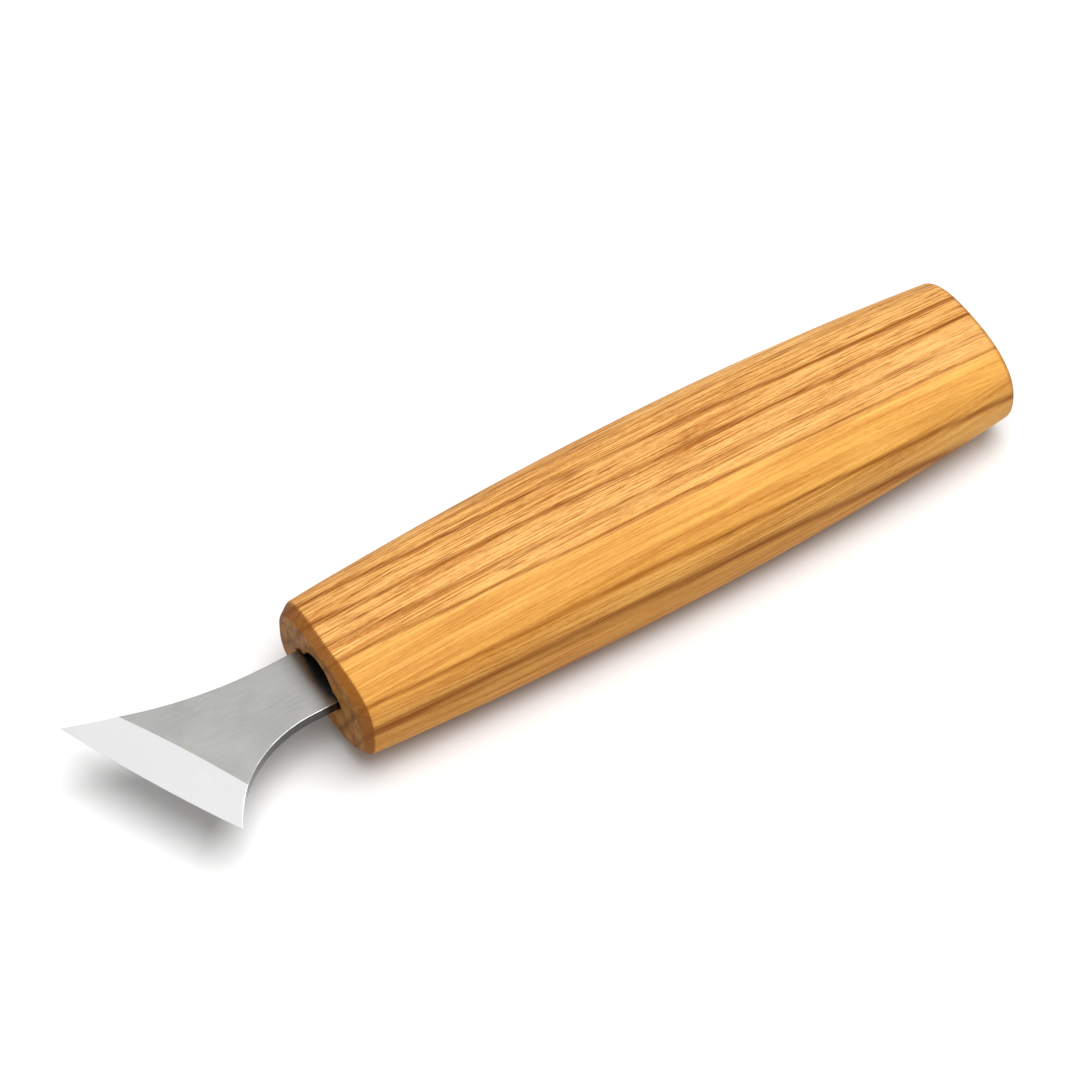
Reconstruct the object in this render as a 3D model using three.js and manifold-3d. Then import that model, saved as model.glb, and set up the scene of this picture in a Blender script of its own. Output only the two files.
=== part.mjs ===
// A whittling knife: a short fishtail blade with a skewed cutting edge, glued into a one-piece wooden handle.
// Millimetres. +X runs from the cutting edge to the butt, +Z is up, and the knife lies on its broad side.
// While it is built, x = 0 is the handle's front face and y = z = 0 is the handle's axis.
import * as THREE from "three";
import { mergeVertices } from "three/addons/utils/BufferGeometryUtils.js";
import Module from "manifold-3d";

const wasm = await Module();
wasm.setup();

// ---- Handle ----
const HANDLE_LENGTH = 120.4;
// Half the width and half the thickness, as Bezier ordinates from the front face to the butt.
const HALF_WIDTHS = [13.6, 15.6, 16.5, 12.8];
const HALF_THICKNESSES = [8.3, 11.5, 11.6, 8.9];
// Superellipse exponents: the section is squarest at the front and roundest at the butt.
const FRONT_SQUARENESS = 3.0;
const BUTT_SQUARENESS = 2.4;
const FRONT_CHAMFER = 1.3;
const CHAMFER_LEAN = 0.8; // the hand-sanded chamfer runs this much further back on the +Y side
const BUTT_ROUND = 1.4;
const FLAT_DEPTH = 0.3; // sanded off the broad sides, so that the knife doesn't rock
const SECTIONS_ALONG = 26;
const POINTS_AROUND = 96;

// ---- Mortise: a drilled round bore, widened at the mouth into a slot for the neck ----
const BORE_RADIUS = 4.5;
const BORE_DEPTH = 56;
const SLOT_WIDTH = 12.9;
const SLOT_HEIGHT = 3;
const SLOT_DEPTH = 22;
const TANG_Y = 0.7; // the neck, the slot and the bore sit this far off the handle's axis
const CLEARANCE = 0.3;

// ---- Blade ----
const BLADE_THICKNESS = 2;
const NECK_WIDTH = 11.7;
const NECK_END = SLOT_DEPTH - 2;
const TANG_WIDTH = 6;
const TANG_END = BORE_DEPTH - 4;
const LONG_CORNER = new THREE.Vector2(-37.5, 14.2); // the cutting edge's end on the long side
const SHORT_CORNER = new THREE.Vector2(-23.8, -16.9); // its end on the short side
const LONG_FLARE_START = -5.5; // where each side leaves the straight neck
const SHORT_FLARE_START = -4.5;
const EDGE_BOW = 0.5; // the cutting edge stands this far out of its chord halfway along
const LONG_BEVEL_WIDTH = 5.5; // the bevel's width from that chord at the long corner
const SHORT_BEVEL_WIDTH = 6.35;
const BEVEL_BELLY = 0.65; // and this much more halfway along
const EDGE_THICKNESS = 0.1;
const EDGE_STEPS = 24;

// ---- Adhesive ----
const ADHESIVE_START = 6; // its face lies this far down the bore

function bezier([a, b, c, d], t) {
  const s = 1 - t;
  return a * s ** 3 + 3 * b * s * s * t + 3 * c * s * t * t + d * t ** 3;
}

function solid(geometry) {
  const plain = new THREE.BufferGeometry();
  plain.setAttribute("position", geometry.getAttribute("position"));
  if (geometry.index) plain.setIndex(geometry.index);
  const merged = mergeVertices(plain, 1e-4);
  return new wasm.Manifold(
    new wasm.Mesh({
      numProp: 3,
      vertProperties: merged.attributes.position.array,
      triVerts: new Uint32Array(merged.index.array),
    }),
  );
}

function mesh(name, manifold, look) {
  const { vertProperties, triVerts } = manifold.getMesh();
  const geometry = new THREE.BufferGeometry();
  geometry.setAttribute("position", new THREE.BufferAttribute(vertProperties, 3));
  geometry.setIndex(new THREE.BufferAttribute(triVerts, 1));
  geometry.computeVertexNormals();
  const made = new THREE.Mesh(geometry, new THREE.MeshStandardMaterial(look));
  made.name = name;
  return made;
}

// A box from its low corner to its high corner.
function box(low, high) {
  const size = high.map((value, i) => value - low[i]);
  const centre = high.map((value, i) => (value + low[i]) / 2);
  return solid(new THREE.BoxGeometry(...size).translate(...centre));
}

// A round bar along +X, centred on the mortise.
function bar(radius, from, to) {
  const geometry = new THREE.CylinderGeometry(radius, radius, to - from, 48);
  geometry.rotateZ(-Math.PI / 2);
  return solid(geometry.translate((from + to) / 2, TANG_Y, 0));
}

// ---- Handle section: a superellipse at x, drawn in by inset and leaning back on the +Y side ----
function section(x, inset, lean = 0) {
  const t = x / HANDLE_LENGTH;
  const halfWidth = bezier(HALF_WIDTHS, t) - inset;
  const halfThickness = bezier(HALF_THICKNESSES, t) - inset;
  const power = 2 / THREE.MathUtils.lerp(FRONT_SQUARENESS, BUTT_SQUARENESS, t * t);
  const soften = (value) => Math.sign(value) * Math.abs(value) ** power;
  return Array.from({ length: POINTS_AROUND }, (_, i) => {
    const angle = (2 * Math.PI * i) / POINTS_AROUND;
    const sideways = soften(Math.cos(angle));
    return [x + lean * Math.max(0, sideways), halfWidth * sideways, halfThickness * soften(Math.sin(angle))];
  });
}

// The middle of a ring of points.
function ringMiddle(ring) {
  return [0, 1, 2].map((axis) => ring.reduce((sum, point) => sum + point[axis], 0) / ring.length);
}

// A closed body through rings of points that run anticlockwise about the way from the first to the last.
function loft(rings) {
  const count = rings[0].length;
  const points = rings.flat();
  const faces = [];
  for (let ring = 0; ring < rings.length - 1; ring++) {
    for (let i = 0; i < count; i++) {
      const a = ring * count + i;
      const b = ring * count + ((i + 1) % count);
      faces.push(a, b, b + count, a, b + count, a + count);
    }
  }
  const first = points.push(ringMiddle(rings[0])) - 1;
  const last = points.push(ringMiddle(rings.at(-1))) - 1;
  const lastRing = (rings.length - 1) * count;
  for (let i = 0; i < count; i++) {
    const next = (i + 1) % count;
    faces.push(first, next, i, last, lastRing + i, lastRing + next);
  }
  const geometry = new THREE.BufferGeometry();
  geometry.setAttribute("position", new THREE.Float32BufferAttribute(points.flat(), 3));
  geometry.setIndex(faces);
  return solid(geometry);
}

function makeHandle() {
  const rings = [section(0, FRONT_CHAMFER), section(FRONT_CHAMFER, 0, CHAMFER_LEAN)];
  const buttStart = HANDLE_LENGTH - BUTT_ROUND;
  for (let i = 1; i <= SECTIONS_ALONG; i++) {
    rings.push(section(THREE.MathUtils.lerp(FRONT_CHAMFER, buttStart, i / SECTIONS_ALONG), 0));
  }
  for (const degrees of [22.5, 45, 67.5, 90]) {
    const angle = THREE.MathUtils.degToRad(degrees);
    rings.push(section(buttStart + BUTT_ROUND * Math.sin(angle), BUTT_ROUND * (1 - Math.cos(angle))));
  }
  const fullest = Math.max(...rings.flat().map(([, , z]) => z)) - FLAT_DEPTH;
  const room = HANDLE_LENGTH * 2;
  const betweenFlats = box([-room, -room, -fullest], [room, room, fullest]);
  const bore = bar(BORE_RADIUS, -1, BORE_DEPTH);
  return loft(rings).intersect(betweenFlats).subtract(bore.add(slotCutter()));
}

// The slot is rounded at both ends, like the cutter that made it.
function slotCutter() {
  const straight = (SLOT_WIDTH - SLOT_HEIGHT) / 2;
  const outline = new THREE.Shape();
  outline.absarc(TANG_Y + straight, 0, SLOT_HEIGHT / 2, -Math.PI / 2, Math.PI / 2);
  outline.absarc(TANG_Y - straight, 0, SLOT_HEIGHT / 2, Math.PI / 2, Math.PI * 1.5);
  const geometry = new THREE.ExtrudeGeometry(outline, {
    depth: SLOT_DEPTH + 1,
    bevelEnabled: false,
    curveSegments: 12,
  });
  const [x, y, z] = [new THREE.Vector3(1, 0, 0), new THREE.Vector3(0, 1, 0), new THREE.Vector3(0, 0, 1)];
  geometry.applyMatrix4(new THREE.Matrix4().makeBasis(y, z, x).setPosition(-1, 0, 0));
  return solid(geometry);
}

// The radius of the arc that leaves the neck's side at start, tangent to it, and ends at the corner.
function flareRadius(start, side, corner) {
  const run = start - corner.x;
  const rise = Math.abs(corner.y - side);
  return (run * run + rise * rise) / (2 * rise);
}

// The cutting edge's chord, with t from 0 at the long corner to 1 at the short one.
function chordPoint(t, inward) {
  const along = SHORT_CORNER.clone().sub(LONG_CORNER);
  const normal = new THREE.Vector2(-along.y, along.x).normalize();
  return LONG_CORNER.clone().addScaledVector(along, t).addScaledVector(normal, inward);
}

// A shallow arch: 0 at both ends and 1 halfway.
function arch(t) {
  return 4 * t * (1 - t);
}

// The blade in plan: cutting edge, two flaring sides, neck and tang.
function bladeOutline() {
  const longSide = TANG_Y + NECK_WIDTH / 2;
  const shortSide = TANG_Y - NECK_WIDTH / 2;
  const longRadius = flareRadius(LONG_FLARE_START, longSide, LONG_CORNER);
  const shortRadius = flareRadius(SHORT_FLARE_START, shortSide, SHORT_CORNER);
  const longTurn = Math.asin((LONG_FLARE_START - LONG_CORNER.x) / longRadius);
  const shortTurn = Math.asin((SHORT_FLARE_START - SHORT_CORNER.x) / shortRadius);
  const up = Math.PI / 2;
  const outline = new THREE.Shape();
  outline.absarc(SHORT_FLARE_START, shortSide - shortRadius, shortRadius, up + shortTurn, up, true);
  outline.lineTo(NECK_END, shortSide);
  outline.lineTo(NECK_END, TANG_Y - TANG_WIDTH / 2);
  outline.lineTo(TANG_END, TANG_Y - TANG_WIDTH / 2);
  outline.lineTo(TANG_END, TANG_Y + TANG_WIDTH / 2);
  outline.lineTo(NECK_END, TANG_Y + TANG_WIDTH / 2);
  outline.lineTo(NECK_END, longSide);
  outline.absarc(LONG_FLARE_START, longSide + longRadius, longRadius, -up, -up - longTurn, true);
  for (let i = 1; i < EDGE_STEPS; i++) {
    const point = chordPoint(i / EDGE_STEPS, -EDGE_BOW * arch(i / EDGE_STEPS));
    outline.lineTo(point.x, point.y);
  }
  return outline;
}

// Everything above one bevel. Its floor is ruled: at each place along the edge a straight line climbs
// from the edge to the blade's flat, and runs on past both.
function bevelCutter() {
  const overrun = 4; // steps past each corner
  const ceiling = 10;
  const climb = (BLADE_THICKNESS - EDGE_THICKNESS) / 2;
  const rings = [];
  for (let i = -overrun; i <= EDGE_STEPS + overrun; i++) {
    const t = i / EDGE_STEPS;
    const edge = -EDGE_BOW * arch(t);
    const shoulder = THREE.MathUtils.lerp(LONG_BEVEL_WIDTH, SHORT_BEVEL_WIDTH, t) + BEVEL_BELLY * arch(t);
    const slope = climb / (shoulder - edge);
    const [near, far] = [edge - shoulder, 2 * shoulder];
    const corners = [
      [near, EDGE_THICKNESS / 2 + slope * (near - edge)],
      [far, EDGE_THICKNESS / 2 + slope * (far - edge)],
      [far, ceiling],
      [near, ceiling],
    ];
    rings.push(corners.map(([inward, z]) => [...chordPoint(t, inward), z]));
  }
  return loft(rings);
}

function makeBlade() {
  const geometry = new THREE.ExtrudeGeometry(bladeOutline(), {
    depth: BLADE_THICKNESS,
    bevelEnabled: false,
    curveSegments: 28,
  });
  const plate = solid(geometry.translate(0, 0, -BLADE_THICKNESS / 2));
  const cutter = bevelCutter();
  return plate.subtract(cutter).subtract(cutter.mirror([0, 0, 1]));
}

// Adhesive fills the round bore above, below and behind the tang.
function makeAdhesive() {
  const fill = bar(BORE_RADIUS - CLEARANCE, ADHESIVE_START, BORE_DEPTH - CLEARANCE);
  const halfHeight = BLADE_THICKNESS / 2 + CLEARANCE;
  const room = (width, from, to) => {
    const half = width / 2 + CLEARANCE;
    return box([from, TANG_Y - half, -halfHeight], [to, TANG_Y + half, halfHeight]);
  };
  const neckRoom = room(NECK_WIDTH, 0, NECK_END + CLEARANCE);
  const tangRoom = room(TANG_WIDTH, NECK_END, TANG_END + CLEARANCE);
  return fill.subtract(neckRoom.add(tangRoom));
}

const knife = new THREE.Group();
knife.name = "whittling_knife";
knife.add(
  mesh("handle", makeHandle(), { color: 0xc98a45, roughness: 0.45, metalness: 0 }),
  mesh("blade", makeBlade(), { color: 0xb4b6b8, roughness: 0.35, metalness: 1 }),
  mesh("adhesive", makeAdhesive(), { color: 0x2a241e, roughness: 0.6, metalness: 0 }),
);

// The part's origin is the middle of the underside of its bounding box.
const bounds = new THREE.Box3().setFromObject(knife);
const middle = bounds.getCenter(new THREE.Vector3());
knife.position.set(-middle.x, -middle.y, -bounds.min.z);

export default knife;
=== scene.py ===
"""A whittling knife lying on a white table: the looks of the CAD model that the frame holds."""

import math

import bmesh
import bpy
from mathutils import Matrix, Vector


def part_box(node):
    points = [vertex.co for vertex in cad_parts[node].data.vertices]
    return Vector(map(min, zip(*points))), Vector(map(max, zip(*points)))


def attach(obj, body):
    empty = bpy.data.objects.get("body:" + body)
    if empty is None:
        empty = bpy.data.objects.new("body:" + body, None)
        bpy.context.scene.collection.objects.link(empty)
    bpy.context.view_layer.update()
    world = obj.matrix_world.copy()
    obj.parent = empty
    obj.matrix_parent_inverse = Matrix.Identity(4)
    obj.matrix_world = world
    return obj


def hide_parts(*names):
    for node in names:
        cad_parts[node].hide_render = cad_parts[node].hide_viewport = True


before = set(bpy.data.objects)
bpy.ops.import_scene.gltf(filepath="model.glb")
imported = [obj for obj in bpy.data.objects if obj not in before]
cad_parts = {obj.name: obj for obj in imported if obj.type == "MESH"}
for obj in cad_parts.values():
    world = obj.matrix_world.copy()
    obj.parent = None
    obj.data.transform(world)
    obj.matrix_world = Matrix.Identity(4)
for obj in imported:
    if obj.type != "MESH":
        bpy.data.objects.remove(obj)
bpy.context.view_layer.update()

MM = 0.001

# ---- Places, worked out from the frame ----
handle_low, handle_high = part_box("handle")
FRONT = handle_low.x / MM  # the handle's front face
AXIS_Y = (handle_low.y + handle_high.y) / 2 / MM
AXIS_Z = (handle_low.z + handle_high.z) / 2 / MM
HANDLE_LENGTH = (handle_high.x - handle_low.x) / MM
FULLEST_HALF = (handle_high.z - handle_low.z) / 2 / MM

# ---- Handle, in millimetres ----
HALF_WIDTHS = (13.6, 15.6, 16.5, 12.8)  # Bezier ordinates from the front face to the butt
HALF_THICKNESSES = (8.3, 11.5, 11.6, 8.9)
FRONT_SQUARENESS = 3.0
BUTT_SQUARENESS = 2.4
FRONT_CHAMFER = 1.3
CHAMFER_LEAN = 0.8  # the hand-sanded chamfer runs this much further back on the +Y side
BUTT_ROUND = 1.4
EDGE_ROUND = 0.35  # sanding rounds the chamfer's two edges this much
BORE_RADIUS = 4.5
BORE_DEPTH = 56
SLOT_WIDTH = 12.9
SLOT_HEIGHT = 3
SLOT_DEPTH = 22
MOUTH_ROUND = 0.25
TANG_Y = 0.7
LEAN_FADE = 6  # the chamfer's lean dies out over this length
BORE_TIP = 0.4  # radius of the drill point's ring at the bore's bottom
POINTS_AROUND = 288
RINGS_ALONG = 120
BUTT_STEPS = 10
MOUTH_STEPS = 5
BORE_STEPS = 7  # rings of faces that line the mortise

# ---- Blade, in millimetres from the handle's front face and axis ----
BLADE_THICKNESS = 2
NECK_WIDTH = 11.7
NECK_END = 20
TANG_WIDTH = 6
TANG_END = 52
LONG_CORNER = Vector((-37.5, 14.2))
SHORT_CORNER = Vector((-23.8, -16.9))
LONG_FLARE_START = -5.5
SHORT_FLARE_START = -4.5
EDGE_BOW = 0.5  # the cutting edge stands this far out of its chord halfway along
LONG_BEVEL_WIDTH = 5.5  # the bevel's width from that chord at the long corner
SHORT_BEVEL_WIDTH = 6.35
BEVEL_BELLY = 0.65  # and this much more halfway along
EDGE_THICKNESS = 0.1
ARRIS = EDGE_THICKNESS / 2  # sharp edges are broken this much, all that the cutting edge has room for
EDGE_STEPS = 48
CLIMB_STEPS = 8  # rows of faces up the bevel
FLARE_STEPS = 32
LONG_SIDE = TANG_Y + NECK_WIDTH / 2
SHORT_SIDE = TANG_Y - NECK_WIDTH / 2
LONG_FLARE = (LONG_FLARE_START, LONG_SIDE, LONG_CORNER)
SHORT_FLARE = (SHORT_FLARE_START, SHORT_SIDE, SHORT_CORNER)
CHORD = SHORT_CORNER - LONG_CORNER
INWARD = Vector((-CHORD.y, CHORD.x)).normalized()


def place(x, y, z):
    """A point from the handle's front face and axis, in the frame's metres."""
    return Vector((FRONT + x, AXIS_Y + y, AXIS_Z + z)) * MM


def bezier(ordinates, t):
    a, b, c, d = ordinates
    s = 1 - t
    return a * s**3 + 3 * b * s * s * t + 3 * c * s * t * t + d * t**3


def add_object(name, mesh, materials, replaced=None):
    obj = bpy.data.objects.new(name, mesh)
    bpy.context.scene.collection.objects.link(obj)
    for material in materials:
        mesh.materials.append(material)
    if replaced:
        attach(obj, "root")
        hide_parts(replaced)
    return obj


# ---- Node trees ----
class Tree:
    """One material's nodes. An input is given as a socket to link or as a plain value."""

    def __init__(self, name):
        self.material = bpy.data.materials.new(name)
        self.material.use_nodes = True
        self.nodes = self.material.node_tree.nodes
        self.links = self.material.node_tree.links
        self.nodes.clear()

    def node(self, kind, inputs, output=0, **settings):
        made = self.nodes.new("ShaderNode" + kind)
        for name, value in settings.items():
            setattr(made, name, value)
        for name, value in inputs.items():
            if isinstance(value, bpy.types.NodeSocket):
                self.links.new(value, made.inputs[name])
            else:
                made.inputs[name].default_value = value
        return made.outputs[output]

    def math(self, operation, a, b=0.0, clamp=False):
        return self.node("Math", {0: a, 1: b}, operation=operation, use_clamp=clamp)

    def vector(self, operation, a, b=(0, 0, 0)):
        return self.node("VectorMath", {0: a, 1: b}, operation=operation)

    def dot(self, a, b):
        return self.node("VectorMath", {0: a, 1: b}, "Value", operation="DOT_PRODUCT")

    def noise(self, vector, detail=2.0, roughness=0.5, scale=1.0):
        """Fractal noise, about 0.5 on average."""
        inputs = {"Vector": vector, "Scale": scale, "Detail": detail, "Roughness": roughness}
        return self.node("TexNoise", inputs)

    def smooth(self, value, low, high, out_low=0.0, out_high=1.0):
        inputs = {"Value": value, 1: low, 2: high, 3: out_low, 4: out_high}
        return self.node("MapRange", inputs, interpolation_type="SMOOTHSTEP")

    def mix(self, factor, a, b):
        return self.node("Mix", {0: factor, 6: a, 7: b}, 2, data_type="RGBA", clamp_factor=True)

    def blend(self, factor, a, b):
        return self.node("Mix", {0: factor, 2: a, 3: b}, data_type="FLOAT", clamp_factor=True)

    def ramp(self, factor, stops):
        made = self.nodes.new("ShaderNodeValToRGB")
        self.links.new(factor, made.inputs[0])
        ramp = made.color_ramp
        while len(ramp.elements) < len(stops):
            ramp.elements.new(0.5)
        for element, (position, value) in zip(ramp.elements, stops):
            element.position = position
            element.color = (value, value, value, 1)
        return made.outputs[0]

    def bump(self, height, distance, strength=1.0):
        return self.node("Bump", {"Height": height, "Distance": distance, "Strength": strength})

    def finish(self, inputs):
        surface = self.node("BsdfPrincipled", inputs)
        output = self.nodes.new("ShaderNodeOutputMaterial")
        self.links.new(surface, output.inputs[0])
        return self.material

    def millimetres(self):
        """The surface's place in millimetres from the handle's front face and axis."""
        place_m = self.node("TexCoord", {}, "Object")
        scaled = self.vector("SCALE", place_m)
        scaled.node.inputs["Scale"].default_value = 1 / MM
        return self.vector("SUBTRACT", scaled, (FRONT, AXIS_Y, AXIS_Z))

    def stretched(self, point, along, across):
        """point scaled by along lengthwise and by across the other two ways."""
        return self.vector("MULTIPLY", point, (along, across, across))


def rgb(red, green, blue):
    """An sRGB colour from 0 to 255, as linear RGBA."""
    linear = []
    for value in (red / 255, green / 255, blue / 255):
        linear.append(value / 12.92 if value <= 0.04 else ((value + 0.055) / 1.055) ** 2.4)
    return (*linear, 1)


# ---- Wood ----
PALE_WOOD = rgb(217, 166, 97)
PLAIN_WOOD = rgb(219, 164, 82)
DEEP_WOOD = rgb(158, 92, 28)
LINE_WOOD = rgb(134, 74, 14)
PORE_WOOD = rgb(122, 64, 12)
CHAMFER_WOOD = rgb(122, 68, 20)
SCORCHED_WOOD = rgb(92, 48, 14)
END_WOOD = rgb(132, 84, 40)
END_PALE = rgb(166, 116, 58)
END_LINE = rgb(78, 44, 18)
# Growth rings cross the handle as tilted sheets. A ring's place is its distance in millimetres along
# RING_NORMAL; towards the butt the sheets drift to the near side and draw a little together.
RING_NORMAL = (0, 0.883, 0.469)
RING_DRIFT = 0.0295
RING_GATHER = 0.0005
# The sheets' other direction; they curl where a place along it is negative, underneath.
RING_ACROSS = (0, -0.469, 0.883)
RING_CURL = 0.012
RING_LOW, RING_HIGH = -20, 22
STREAK_DEPTH = 0.12  # a streak changes this much as fast with depth as it does sideways
# Dark porous lines: place, half width and depth of tone.
RING_LINES = (
    (-17.6, 0.7, 0.6),
    (-14.6, 0.5, 0.4),
    (-11.2, 0.8, 1.0),
    (-7.6, 0.65, 0.9),
    (0.75, 0.5, 0.85),
    (3.8, 0.8, 0.45),
    (8.0, 0.65, 0.8),
    (12.0, 0.65, 0.8),
    (15.7, 0.6, 0.3),
    (18.4, 0.7, 0.6),
)
# Slow changes of tone from pale (0) to deep (1) between the lines
RING_TONES = (
    (-20, 0.5),
    (-12.2, 0.55),
    (-9.6, 0.4),
    (-8.4, 0.45),
    (-6.6, 0.38),
    (-5.0, 0.52),
    (-3.2, 0.3),
    (-1.7, 0.48),
    (-0.3, 0.22),
    (2.0, 0.24),
    (3.3, 0.36),
    (5.2, 0.2),
    (6.9, 0.42),
    (9.3, 0.38),
    (10.9, 0.32),
    (13.2, 0.4),
    (17, 0.38),
    (22, 0.4),
)
# How thickly the pores stand between the lines
PORE_SHARES = (
    (-20, 0.3),
    (-12.4, 0.12),
    (-10.2, 0.25),
    (-8.4, 0.25),
    (-6.4, 0.1),
    (-5.0, 0.05),
    (-1.6, 0.05),
    (2.6, 0.6),
    (12.6, 0.75),
    (16, 0.6),
    (22, 0.6),
)


def ring_stops(values):
    span = RING_HIGH - RING_LOW
    return [((place_mm - RING_LOW) / span, value) for place_mm, value in values]


def line_profile():
    """Each dark line is fullest at its place and is gone a half width away on both sides."""
    values = []
    for place_mm, half, depth in RING_LINES:
        values += [(place_mm - half, 0.0), (place_mm, depth), (place_mm + half, 0.0)]
    return ring_stops(values)


class Wood(Tree):
    """The handle's oiled ash: growth rings, pores and fibres that run on from face to face."""

    def __init__(self):
        super().__init__("oiled_ash")
        self.point = self.millimetres()
        self.along = self.dot(self.point, (1, 0, 0))
        self.normal = self.node("NewGeometry", {}, "Normal")
        self.upright = self.smooth(self.math("ABSOLUTE", self.dot(self.normal, (0, 0, 1))), 0.55, 0.75)
        ring = self.ring_place()
        self.line = self.ramp(ring, line_profile())
        self.tone = self.ramp(ring, ring_stops(RING_TONES))
        self.share = self.ramp(ring, ring_stops(PORE_SHARES))
        self.dense = self.math("ADD", self.share, self.math("MULTIPLY", self.line, 0.5))
        self.fibre = self.streaks(0.05, 3.2, 3.0, 0.65)
        self.pore = self.pore_strokes()

    def wave(self, along, across, amount, detail=2.0):
        """Stretched noise between about -amount / 2 and amount / 2."""
        value = self.noise(self.stretched(self.point, along, across), detail)
        return self.math("MULTIPLY", self.math("SUBTRACT", value, 0.5), amount)

    def ring_place(self):
        """The place along RING_NORMAL, drifting and gathering along the handle and a little wavy.

        It is 0 at RING_LOW and 1 at RING_HIGH.
        """
        gather = self.math("ADD", self.math("MULTIPLY", self.along, RING_GATHER), 1.0)
        ring = self.math("MULTIPLY", self.dot(self.point, RING_NORMAL), gather)
        ring = self.math("ADD", ring, self.math("MULTIPLY", self.along, RING_DRIFT))
        under = self.math("MINIMUM", self.dot(self.point, RING_ACROSS), 0.0)
        curl = self.math("MULTIPLY", self.math("MULTIPLY", under, under), RING_CURL)
        ring = self.math("SUBTRACT", ring, curl)
        ripples = (self.wave(0.02, 0.08, 1.0, 1.0), self.wave(0.09, 0.5, 0.35), self.wave(0.25, 3.0, 0.25))
        for ripple in ripples:
            ring = self.math("ADD", ring, ripple)
        return self.node("MapRange", {"Value": ring, 1: RING_LOW, 2: RING_HIGH, 3: 0.0, 4: 1.0})

    def streaks(self, along, across, detail, roughness):
        """Fine noise that hardly changes with depth, so that its streaks run on where the wood tapers."""
        deep = across * STREAK_DEPTH
        over = self.noise(self.vector("MULTIPLY", self.point, (along, across, deep)), detail, roughness)
        beside = self.noise(self.vector("MULTIPLY", self.point, (along, deep, across)), detail, roughness)
        return self.blend(self.upright, beside, over)

    def pore_strokes(self):
        """Short dark strokes, thickest where the wood is porous."""
        stroke = self.streaks(0.14, 5.0, 1.0, 0.5)
        threshold = self.smooth(self.dense, 0.0, 1.2, 0.72, 0.5)
        return self.math("MULTIPLY", self.math("SUBTRACT", stroke, threshold), 11.0, True)

    def side_colour(self):
        """Side grain: clouds, bands and fibres over the rings' tones, then dark lines and pores."""
        cloud = self.noise(self.stretched(self.point, 0.04, 0.3), 2.0)
        band = self.streaks(0.03, 0.8, 1.0, 0.5)
        speck = self.streaks(0.8, 6.5, 2.0, 0.7)
        busy = self.smooth(self.share, 0.0, 0.6, 0.45, 1.0)
        fine = self.smooth(speck, 0.3, 0.7, -0.2, 0.22)
        grain = self.math("ADD", self.smooth(self.fibre, 0.34, 0.66, -0.36, 0.4), fine)
        shade = self.math("ADD", self.tone, self.smooth(cloud, 0.3, 0.7, -0.06, 0.06))
        shade = self.math("ADD", shade, self.smooth(band, 0.3, 0.7, -0.12, 0.12))
        # painted light: the side grain is a little darker near the front and lighter towards the butt
        shade = self.math("ADD", shade, self.smooth(self.along, 40, 115, 0.03, -0.08))
        shade = self.math("ADD", shade, self.math("MULTIPLY", grain, busy))
        pale = self.mix(self.smooth(self.share, 0.1, 0.6), PLAIN_WOOD, PALE_WOOD)
        colour = self.mix(shade, pale, DEEP_WOOD)
        ragged = self.math("MULTIPLY", self.line, self.smooth(self.fibre, 0.35, 0.65, 0.75, 1.15))
        colour = self.mix(ragged, colour, LINE_WOOD)
        return self.mix(self.math("MULTIPLY", self.pore, 0.8), colour, PORE_WOOD)

    def edge_colour(self, side):
        """The front's chamfer is burnished dark, most on the far side; the butt's edge stays lighter."""
        scorched = self.smooth(self.dot(self.point, (0, 1, 0)), 2.0, 11.0, 0.0, 0.6)
        burnished = self.mix(scorched, CHAMFER_WOOD, SCORCHED_WOOD)
        return self.mix(self.smooth(self.along, 20, 100, 0.18, 0.6), burnished, side)

    def end_colour(self):
        """End grain drinks more oil, so it is darker, with vessels along the growth rings."""
        patch = self.noise(self.stretched(self.point, 0.3, 0.45), 4.0, 0.6)
        colour = self.mix(self.smooth(patch, 0.35, 0.65), END_WOOD, END_PALE)
        cells = self.node("TexVoronoi", {"Vector": self.stretched(self.point, 0.2, 2.6), "Scale": 1.0})
        dots = self.smooth(cells, 0.16, 0.3, 1.0, 0.0)
        vessel = self.math("MULTIPLY", dots, self.smooth(self.dense, 0.1, 0.7))
        colour = self.mix(self.math("MULTIPLY", vessel, 0.4), colour, END_LINE)
        return self.mix(self.math("MULTIPLY", self.line, 0.5), colour, END_LINE)


def build_wood():
    wood = Wood()
    endness = wood.math("ABSOLUTE", wood.dot(wood.normal, (1, 0, 0)))
    side = wood.side_colour()
    colour = wood.mix(wood.smooth(endness, 0.2, 0.6), side, wood.edge_colour(side))
    colour = wood.mix(wood.smooth(endness, 0.72, 0.98), colour, wood.end_colour())
    groove = wood.math("SUBTRACT", wood.math("MULTIPLY", wood.fibre, 0.4), wood.pore)
    return wood.finish(
        {
            "Base Color": colour,
            "Roughness": wood.smooth(wood.fibre, 0.2, 0.8, 0.45, 0.6),
            "Normal": wood.bump(groove, 0.04 * MM, 0.5),
            "Specular IOR Level": 0.08,
        }
    )


def build_bore():
    """The mortise's walls: end grain and side grain, painted near black as painted shade inside the hole.
    """
    tree = Tree("mortise_painted_shade")
    point = tree.millimetres()
    torn = tree.noise(tree.stretched(point, 0.8, 1.6), 3.0, 0.65)
    # painted shade: the walls are near black
    colour = tree.mix(torn, rgb(26, 18, 11), rgb(52, 36, 20))
    return tree.finish({"Base Color": colour, "Roughness": 0.85, "Normal": tree.bump(torn, 0.2 * MM)})


# ---- Steel ----
MOUTH_SHADE = (-5.0, 0.5)  # painted shade: the neck is darkened between these places, a painted reflection of the mortise's dark mouth
REFLECTION_SPAN = (-22.5, -19.0)  # painted reflection: the sides are bright towards the tip as far as here, and dark behind, a painted reflection of the shade under the neck
SATIN = (0.63, 0.63, 0.615, 1)
BRIGHT = (0.69, 0.69, 0.705, 1)
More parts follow.
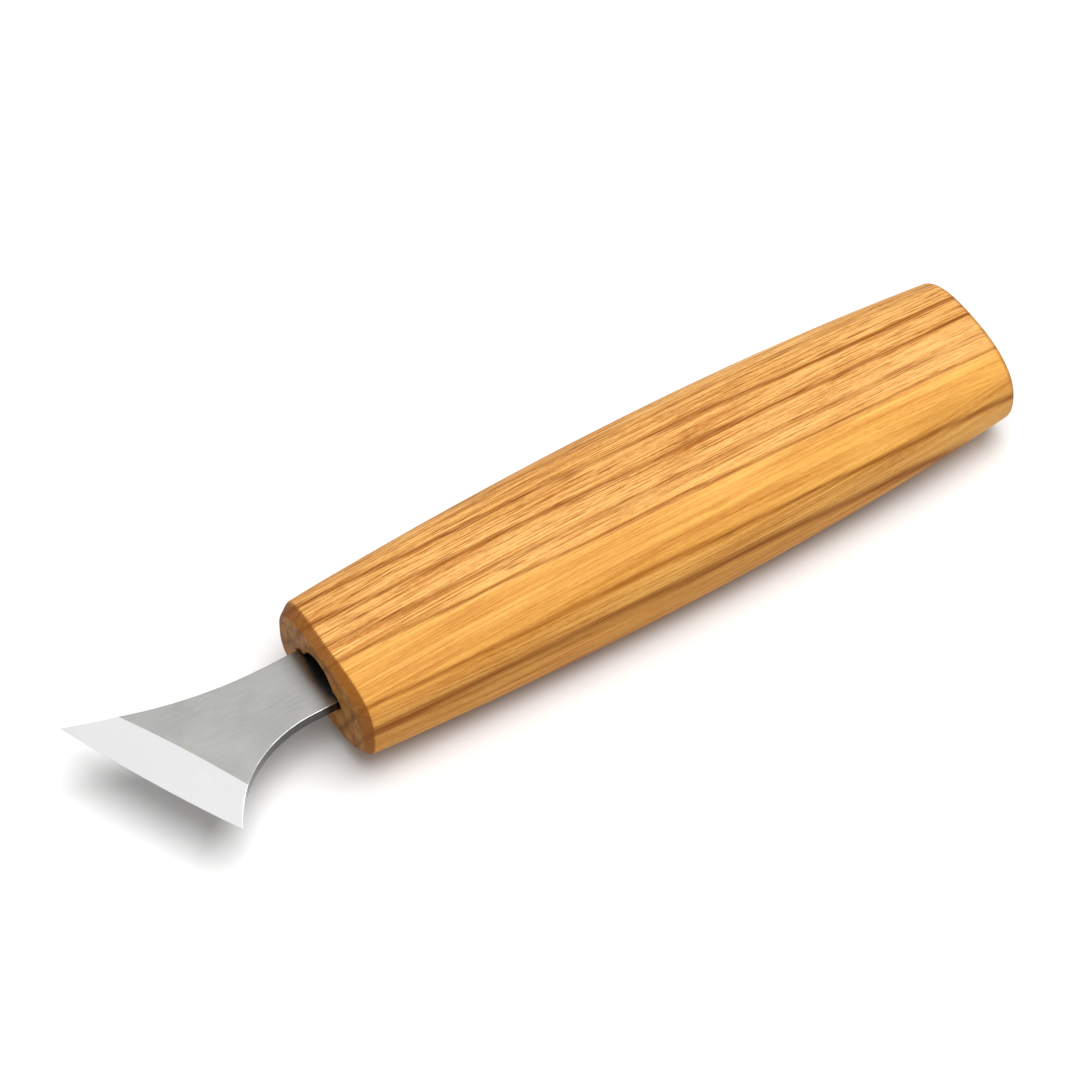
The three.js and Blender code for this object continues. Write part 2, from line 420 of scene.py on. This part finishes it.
# the next two are painted: a bright glint and reflection, and a dark reflection of shade
GLINT = (0.95, 0.95, 0.95, 1)
SCALE = (0.1, 0.1, 0.097, 1)


def build_steel(name, colours, roughnesses, grind, coarseness=1.0):
    """Ground steel: fine lines and faint smudges, with painted shade by the mortise.

    colours are those in front of REFLECTION_SPAN and behind it; roughnesses are the least and the most.
    coarseness says how much the lines and smudges show.
    """
    tree = Tree(name)
    point = tree.millimetres()
    along = tree.dot(point, (1, 0, 0))
    # painted reflection: bright in front of the span, dark behind it
    colour = tree.mix(tree.smooth(along, *REFLECTION_SPAN), *colours)
    lines = tree.noise(tree.vector("MULTIPLY", point, grind), 2.0, 0.5)
    smudge = tree.noise(tree.stretched(point, 0.12, 0.16), 3.0, 0.55)
    tint = tree.mix(tree.smooth(smudge, 0.3, 0.7, 0.0, 0.1 * coarseness), colour, (0, 0, 0, 1))
    tint = tree.mix(tree.smooth(lines, 0.3, 0.7, 0.0, 0.06 * coarseness), tint, (0, 0, 0, 1))
    # painted shade: the neck darkens towards the mortise's mouth
    tint = tree.mix(tree.smooth(along, *MOUTH_SHADE, 0.0, 0.65), tint, (0.02, 0.018, 0.015, 1))
    return tree.finish(
        {
            "Base Color": tint,
            "Metallic": 1.0,
            "Roughness": tree.smooth(smudge, 0.3, 0.7, *roughnesses),
            "Normal": tree.bump(lines, 0.003 * MM, 0.3 * coarseness),
        }
    )


def build_adhesive():
    """Set glue: dark, with a dull skin and a few drowned bubbles."""
    tree = Tree("set_glue")
    point = tree.millimetres()
    cloud = tree.noise(tree.stretched(point, 0.6, 0.6), 3.0)
    bubbles = tree.node("TexVoronoi", {"Vector": point, "Scale": 1.4})
    colour = tree.mix(cloud, rgb(40, 32, 24), rgb(66, 52, 38))
    height = tree.math("ADD", cloud, tree.smooth(bubbles, 0.05, 0.2))
    return tree.finish(
        {
            "Base Color": colour,
            "Roughness": tree.smooth(cloud, 0.3, 0.7, 0.3, 0.5),
            "Normal": tree.bump(height, 0.1 * MM),
        }
    )


# ---- Handle ----
def section(phi, x, inset):
    """The handle's radius in the direction phi at x, drawn in by inset: a superellipse."""
    t = min(max(x / HANDLE_LENGTH, 0), 1)
    half_width = bezier(HALF_WIDTHS, t) - inset
    half_thickness = bezier(HALF_THICKNESSES, t) - inset
    power = FRONT_SQUARENESS + (BUTT_SQUARENESS - FRONT_SQUARENESS) * t * t
    across, up = abs(math.cos(phi)) / half_width, abs(math.sin(phi)) / half_thickness
    return (across**power + up**power) ** (-1 / power), half_width


def mouth(phi, grow):
    """The mortise's radius in the direction phi: a round bore with a slot through it."""
    cap = SLOT_HEIGHT / 2 + grow
    straight = (SLOT_WIDTH - SLOT_HEIGHT) / 2
    across, up = abs(math.cos(phi)), abs(math.sin(phi))
    end = straight * across + math.sqrt(max(0, cap**2 - (straight * up) ** 2))
    slot = cap / up if up and cap / up * across < straight else end
    return max(BORE_RADIUS + grow, slot)


def rounded(points, radius, steps=5):
    """A profile with each inner corner replaced by a short parabolic arc; it ends with the last arc."""
    profile = [points[0]]
    for before, corner, after in zip(points, points[1:], points[2:]):
        before, corner, after = Vector(before), Vector(corner), Vector(after)
        start = corner + (before - corner).normalized() * radius
        end = corner + (after - corner).normalized() * radius
        for i in range(steps + 1):
            t = i / steps
            profile.append(tuple(start * (1 - t) ** 2 + corner * 2 * t * (1 - t) + end * t * t))
    return profile


def outer_profile():
    """(x, inset, lean) along the handle's outside, from the front face to the butt."""
    corners = ((0, FRONT_CHAMFER + 1), (0, FRONT_CHAMFER), (FRONT_CHAMFER, 0), (FRONT_CHAMFER + 1, 0))
    front = rounded(corners, EDGE_ROUND)
    rows = [(x, inset, CHAMFER_LEAN * min(1, x / FRONT_CHAMFER)) for x, inset in front]
    start = front[-1][0]
    end = HANDLE_LENGTH - BUTT_ROUND
    for i in range(1, RINGS_ALONG + 1):
        x = start + (end - start) * i / RINGS_ALONG
        rows.append((x, 0, CHAMFER_LEAN * max(0, 1 - (x - start) / LEAN_FADE)))
    for i in range(1, BUTT_STEPS + 1):
        angle = math.radians(90 * i / BUTT_STEPS)
        rows.append((end + BUTT_ROUND * math.sin(angle), BUTT_ROUND * (1 - math.cos(angle)), 0))
    return rows


def outer_ring(x, inset, lean):
    ring = []
    for i in range(POINTS_AROUND):
        phi = 2 * math.pi * (i + 0.5) / POINTS_AROUND
        radius, half_width = section(phi, x, inset)
        y, z = radius * math.cos(phi), radius * math.sin(phi)
        z = min(max(z, -FULLEST_HALF), FULLEST_HALF)
        ring.append(place(x + lean * max(0, y / half_width), y, z))
    return ring


def inner_ring(x, radius_at):
    ring = []
    for i in range(POINTS_AROUND):
        phi = 2 * math.pi * (i + 0.5) / POINTS_AROUND
        radius = radius_at(phi)
        ring.append(place(x, TANG_Y + radius * math.cos(phi), radius * math.sin(phi)))
    return ring


def handle_rings():
    rings = [inner_ring(BORE_DEPTH, lambda phi: BORE_TIP)]
    rings += [inner_ring(x, lambda phi: BORE_RADIUS) for x in (BORE_DEPTH, SLOT_DEPTH)]
    for x in (SLOT_DEPTH, 12, 4, 1):
        rings.append(inner_ring(x, lambda phi: mouth(phi, 0)))
    for i in range(MOUTH_STEPS + 1):
        angle = math.radians(90 * i / MOUTH_STEPS)
        grow = MOUTH_ROUND * (1 - math.cos(angle))
        rings.append(inner_ring(MOUTH_ROUND * (1 - math.sin(angle)), lambda phi, g=grow: mouth(phi, g)))
    rings += [outer_ring(*row) for row in outer_profile()]
    return rings


def make_handle(wood, bore):
    mesh = bpy.data.meshes.new("handle_wood")
    build = bmesh.new()
    rings = [[build.verts.new(point) for point in ring] for ring in handle_rings()]
    for step, (ring, following) in enumerate(zip(rings, rings[1:])):
        for i in range(POINTS_AROUND):
            j = (i + 1) % POINTS_AROUND
            face = build.faces.new((ring[i], ring[j], following[j], following[i]))
            face.material_index = 1 if step < BORE_STEPS else 0
    for ring, x, y, material in ((rings[0], BORE_DEPTH, TANG_Y, 1), (rings[-1], HANDLE_LENGTH, 0, 0)):
        centre = build.verts.new(place(x, y, 0))
        for i in range(POINTS_AROUND):
            face = build.faces.new((ring[i], ring[(i + 1) % POINTS_AROUND], centre))
            face.material_index = material
    bmesh.ops.recalc_face_normals(build, faces=build.faces)
    for face in build.faces:
        face.smooth = True
    build.to_mesh(mesh)
    build.free()
    mesh.set_sharp_from_angle(angle=math.radians(35))
    add_object("handle_wood", mesh, [wood, bore], "handle")


# ---- Blade ----
def arch(t):
    """A shallow arch: 0 at both ends and 1 halfway."""
    return 4 * t * (1 - t)


def edge_point(t):
    """A point of the cutting edge in plan, with t from 0 at the long corner to 1 at the short one."""
    return LONG_CORNER + CHORD * t - INWARD * EDGE_BOW * arch(t)


def shoulder_point(t):
    """A point of the line where the bevel meets the flat."""
    width = LONG_BEVEL_WIDTH + (SHORT_BEVEL_WIDTH - LONG_BEVEL_WIDTH) * t + BEVEL_BELLY * arch(t)
    return LONG_CORNER + CHORD * t + INWARD * width


def along_edge(point):
    return (point - LONG_CORNER).dot(CHORD) / CHORD.length_squared


def climbed(point):
    """How far up the bevel a point of the plan is, from 0 at the edge to 1 at the flat."""
    edge = edge_point(along_edge(point))
    shoulder = shoulder_point(along_edge(point))
    return (point - edge).dot(INWARD) / (shoulder - edge).dot(INWARD)


def half_height(point):
    thinnest = EDGE_THICKNESS / 2
    return thinnest + (BLADE_THICKNESS / 2 - thinnest) * min(max(climbed(point), 0), 1)


def flare_point(flare, share):
    """A point of the arc that leaves the neck tangent to it, and ends at the corner where share is 1."""
    start, side, corner = flare
    run = start - corner.x
    rise = corner.y - side
    radius = (run * run + rise * rise) / (2 * abs(rise))
    angle = math.asin(run / radius) * share
    climb = math.copysign(radius * (1 - math.cos(angle)), rise)
    return Vector((start - radius * math.sin(angle), side + climb))


def shoulder_share(flare):
    """The share of the arc at which the bevel meets the flat, found by halving."""
    low, high = 0.0, 1.0
    for _ in range(40):
        middle = (low + high) / 2
        if climbed(flare_point(flare, middle)) > 1:
            low = middle
        else:
            high = middle
    return low


def bevel_rows():
    """Points over the bevel in plan, in rows from the edge up to the flat.

    Each row runs from the long side to the short one.
    """
    long_share, short_share = shoulder_share(LONG_FLARE), shoulder_share(SHORT_FLARE)
    first = along_edge(flare_point(LONG_FLARE, long_share))
    last = along_edge(flare_point(SHORT_FLARE, short_share))
    low = [edge_point(i / EDGE_STEPS) for i in range(EDGE_STEPS + 1)]
    high = [shoulder_point(first + (last - first) * i / EDGE_STEPS) for i in range(EDGE_STEPS + 1)]
    rows = []
    for step in range(CLIMB_STEPS + 1):
        v = step / CLIMB_STEPS
        left = flare_point(LONG_FLARE, 1 - (1 - long_share) * v)
        right = flare_point(SHORT_FLARE, 1 - (1 - short_share) * v)
        plain = [a * (1 - v) + b * v for a, b in zip(low, high)]
        pull_left, pull_right = left - plain[0], right - plain[-1]
        row = []
        for i, point in enumerate(plain):
            u = i / EDGE_STEPS
            row.append(point + pull_left * (1 - u) + pull_right * u)
        rows.append(row)
    return rows


def flat_side():
    """The flat's outline in plan, from the short side's shoulder round the tang to the long side's."""
    half_tang = TANG_WIDTH / 2
    steps = range(1, FLARE_STEPS + 1)
    short_share, long_share = shoulder_share(SHORT_FLARE), shoulder_share(LONG_FLARE)
    near = [flare_point(SHORT_FLARE, short_share * (1 - i / FLARE_STEPS)) for i in steps]
    far = [flare_point(LONG_FLARE, long_share * (1 - i / FLARE_STEPS)) for i in steps][::-1]
    tang = [
        (NECK_END, SHORT_SIDE),
        (NECK_END, TANG_Y - half_tang),
        (TANG_END, TANG_Y - half_tang),
        (TANG_END, TANG_Y + half_tang),
        (NECK_END, TANG_Y + half_tang),
        (NECK_END, LONG_SIDE),
    ]
    return near + [Vector(point) for point in tang] + far


def fill_blade(build):
    """Makes the blade's faces: the two flats and bevels, and the strip round the outline."""
    made = {}

    def vertex(point, side):
        key = (round(point.x, 4), round(point.y, 4), side)
        if key not in made:
            made[key] = build.verts.new(place(point.x, point.y, side * half_height(point)))
        return made[key]

    def face(corners, material):
        part = build.faces.new(corners)
        part.material_index = material
        part.smooth = True

    rows = bevel_rows()
    sides = flat_side()
    for side in (1, -1):
        face([vertex(point, side) for point in rows[-1] + sides], 0)
        for row, above in zip(rows, rows[1:]):
            for i in range(EDGE_STEPS):
                corners = (row[i], row[i + 1], above[i + 1], above[i])
                face([vertex(point, side) for point in corners], 1)
    short_end = [row[-1] for row in rows[1:]]
    long_end = [row[0] for row in rows[:0:-1]]
    outline = rows[0] + short_end + sides + long_end
    for point, following in zip(outline, outline[1:] + outline[:1]):
        face([vertex(point, 1), vertex(following, 1), vertex(following, -1), vertex(point, -1)], 2)
    bmesh.ops.recalc_face_normals(build, faces=build.faces)


def weigh_rims(build):
    """Marks the sharp edges, which the arris modifier breaks."""
    weights = build.edges.layers.float.new("bevel_weight_edge")
    for rim in build.edges:
        if rim.calc_face_angle(0) > math.radians(60):
            rim[weights] = 1


def make_blade(materials):
    mesh = bpy.data.meshes.new("blade_steel")
    build = bmesh.new()
    fill_blade(build)
    weigh_rims(build)
    build.to_mesh(mesh)
    build.free()
    obj = add_object("blade_steel", mesh, materials, "blade")
    soften = obj.modifiers.new("arris", "BEVEL")
    soften.limit_method = "WEIGHT"
    soften.width = ARRIS * MM
    soften.segments = 3
    # the arrises take the fourth material, which is a painted highlight
    soften.material = 3
    soften.harden_normals = True
    mesh.set_sharp_from_angle(angle=math.radians(6))


# ---- Stage ----
def make_floor():
    size = 3.0
    mesh = bpy.data.meshes.new("floor")
    corners = [(-size, -size, 0), (size, -size, 0), (size, size, 0), (-size, size, 0)]
    mesh.from_pydata(corners, [], [(0, 1, 2, 3)])
    tree = Tree("white_table")
    point = tree.node("TexCoord", {}, "Object")
    speck = tree.noise(point, 2.0, 0.5, 300.0)
    colour = tree.mix(speck, (0.7, 0.7, 0.7, 1), (0.72, 0.72, 0.72, 1))
    floor = add_object("floor", mesh, [tree.finish({"Base Color": colour, "Roughness": 0.6})])


def add_area(name, position, aim, size, power):
    data = bpy.data.lights.new(name, "AREA")
    data.shape = "RECTANGLE"
    data.size, data.size_y = size
    data.energy = power
    lamp = bpy.data.objects.new(name, data)
    lamp.location = position
    lamp.rotation_euler = (Vector(aim) - Vector(position)).to_track_quat("-Z", "Y").to_euler()
    bpy.context.scene.collection.objects.link(lamp)


def make_world(strength):
    world = bpy.data.worlds.new("studio")
    world.use_nodes = True
    background = world.node_tree.nodes["Background"]
    background.inputs["Color"].default_value = (1.0, 0.99, 0.975, 1)
    background.inputs["Strength"].default_value = strength
    bpy.context.scene.world = world


# ---- Camera: the photograph's viewing angle ----
AIM = Vector((1.2, 5.6, AXIS_Z)) * MM
AZIMUTH = math.radians(-31.4)
ELEVATION = math.radians(52.4)
ROLL = math.radians(-1.4)
DISTANCE = 928.5 * MM
LENS = 200


def make_camera():
    data = bpy.data.cameras.new("camera")
    data.lens = LENS
    data.sensor_width = 36
    data.clip_start, data.clip_end = 0.05, 20
    camera = bpy.data.objects.new("camera", data)
    level = math.cos(ELEVATION)
    back = Vector((math.sin(AZIMUTH) * level, -math.cos(AZIMUTH) * level, math.sin(ELEVATION)))
    camera.location = AIM + back * DISTANCE
    turn = (-back).to_track_quat("-Z", "Y").to_matrix() @ Matrix.Rotation(ROLL, 3, "Z")
    camera.rotation_euler = turn.to_euler()
    bpy.context.scene.collection.objects.link(camera)
    bpy.context.scene.camera = camera


make_handle(build_wood(), build_bore())
make_blade(
    [
        build_steel("satin_flat", (SATIN, SATIN), (0.2, 0.25), (0.5, 3.0, 0.5)),
        build_steel("polished_bevel", (BRIGHT, BRIGHT), (0.13, 0.16), (1.0, 3.0, 1.0), 0.3),
        # the sides' colours are painted reflections: bright towards the tip, shaded towards the neck
        build_steel("blade_sides_painted_reflection", (GLINT, SCALE), (0.2, 0.28), (4.0, 4.0, 0.6)),
        # painted highlight: the broken arrises are coloured bright white
        build_steel("arris_painted_glint", (GLINT, GLINT), (0.22, 0.26), (3.0, 3.0, 1.0)),
    ]
)
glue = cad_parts["adhesive"]
glue.data.materials.clear()
glue.data.materials.append(build_adhesive())

make_floor()
make_world(0.5)
add_area("overhead", (0.17, -0.18, 1.3), (0, 0, 0), (1.3, 1.0), 25)
add_area("back_card", (-0.1, 0.62, 1.3), (-0.06, 0, 0), (0.7, 0.4), 0.62)
make_camera()
bpy.context.scene.view_settings.view_transform = "Standard"
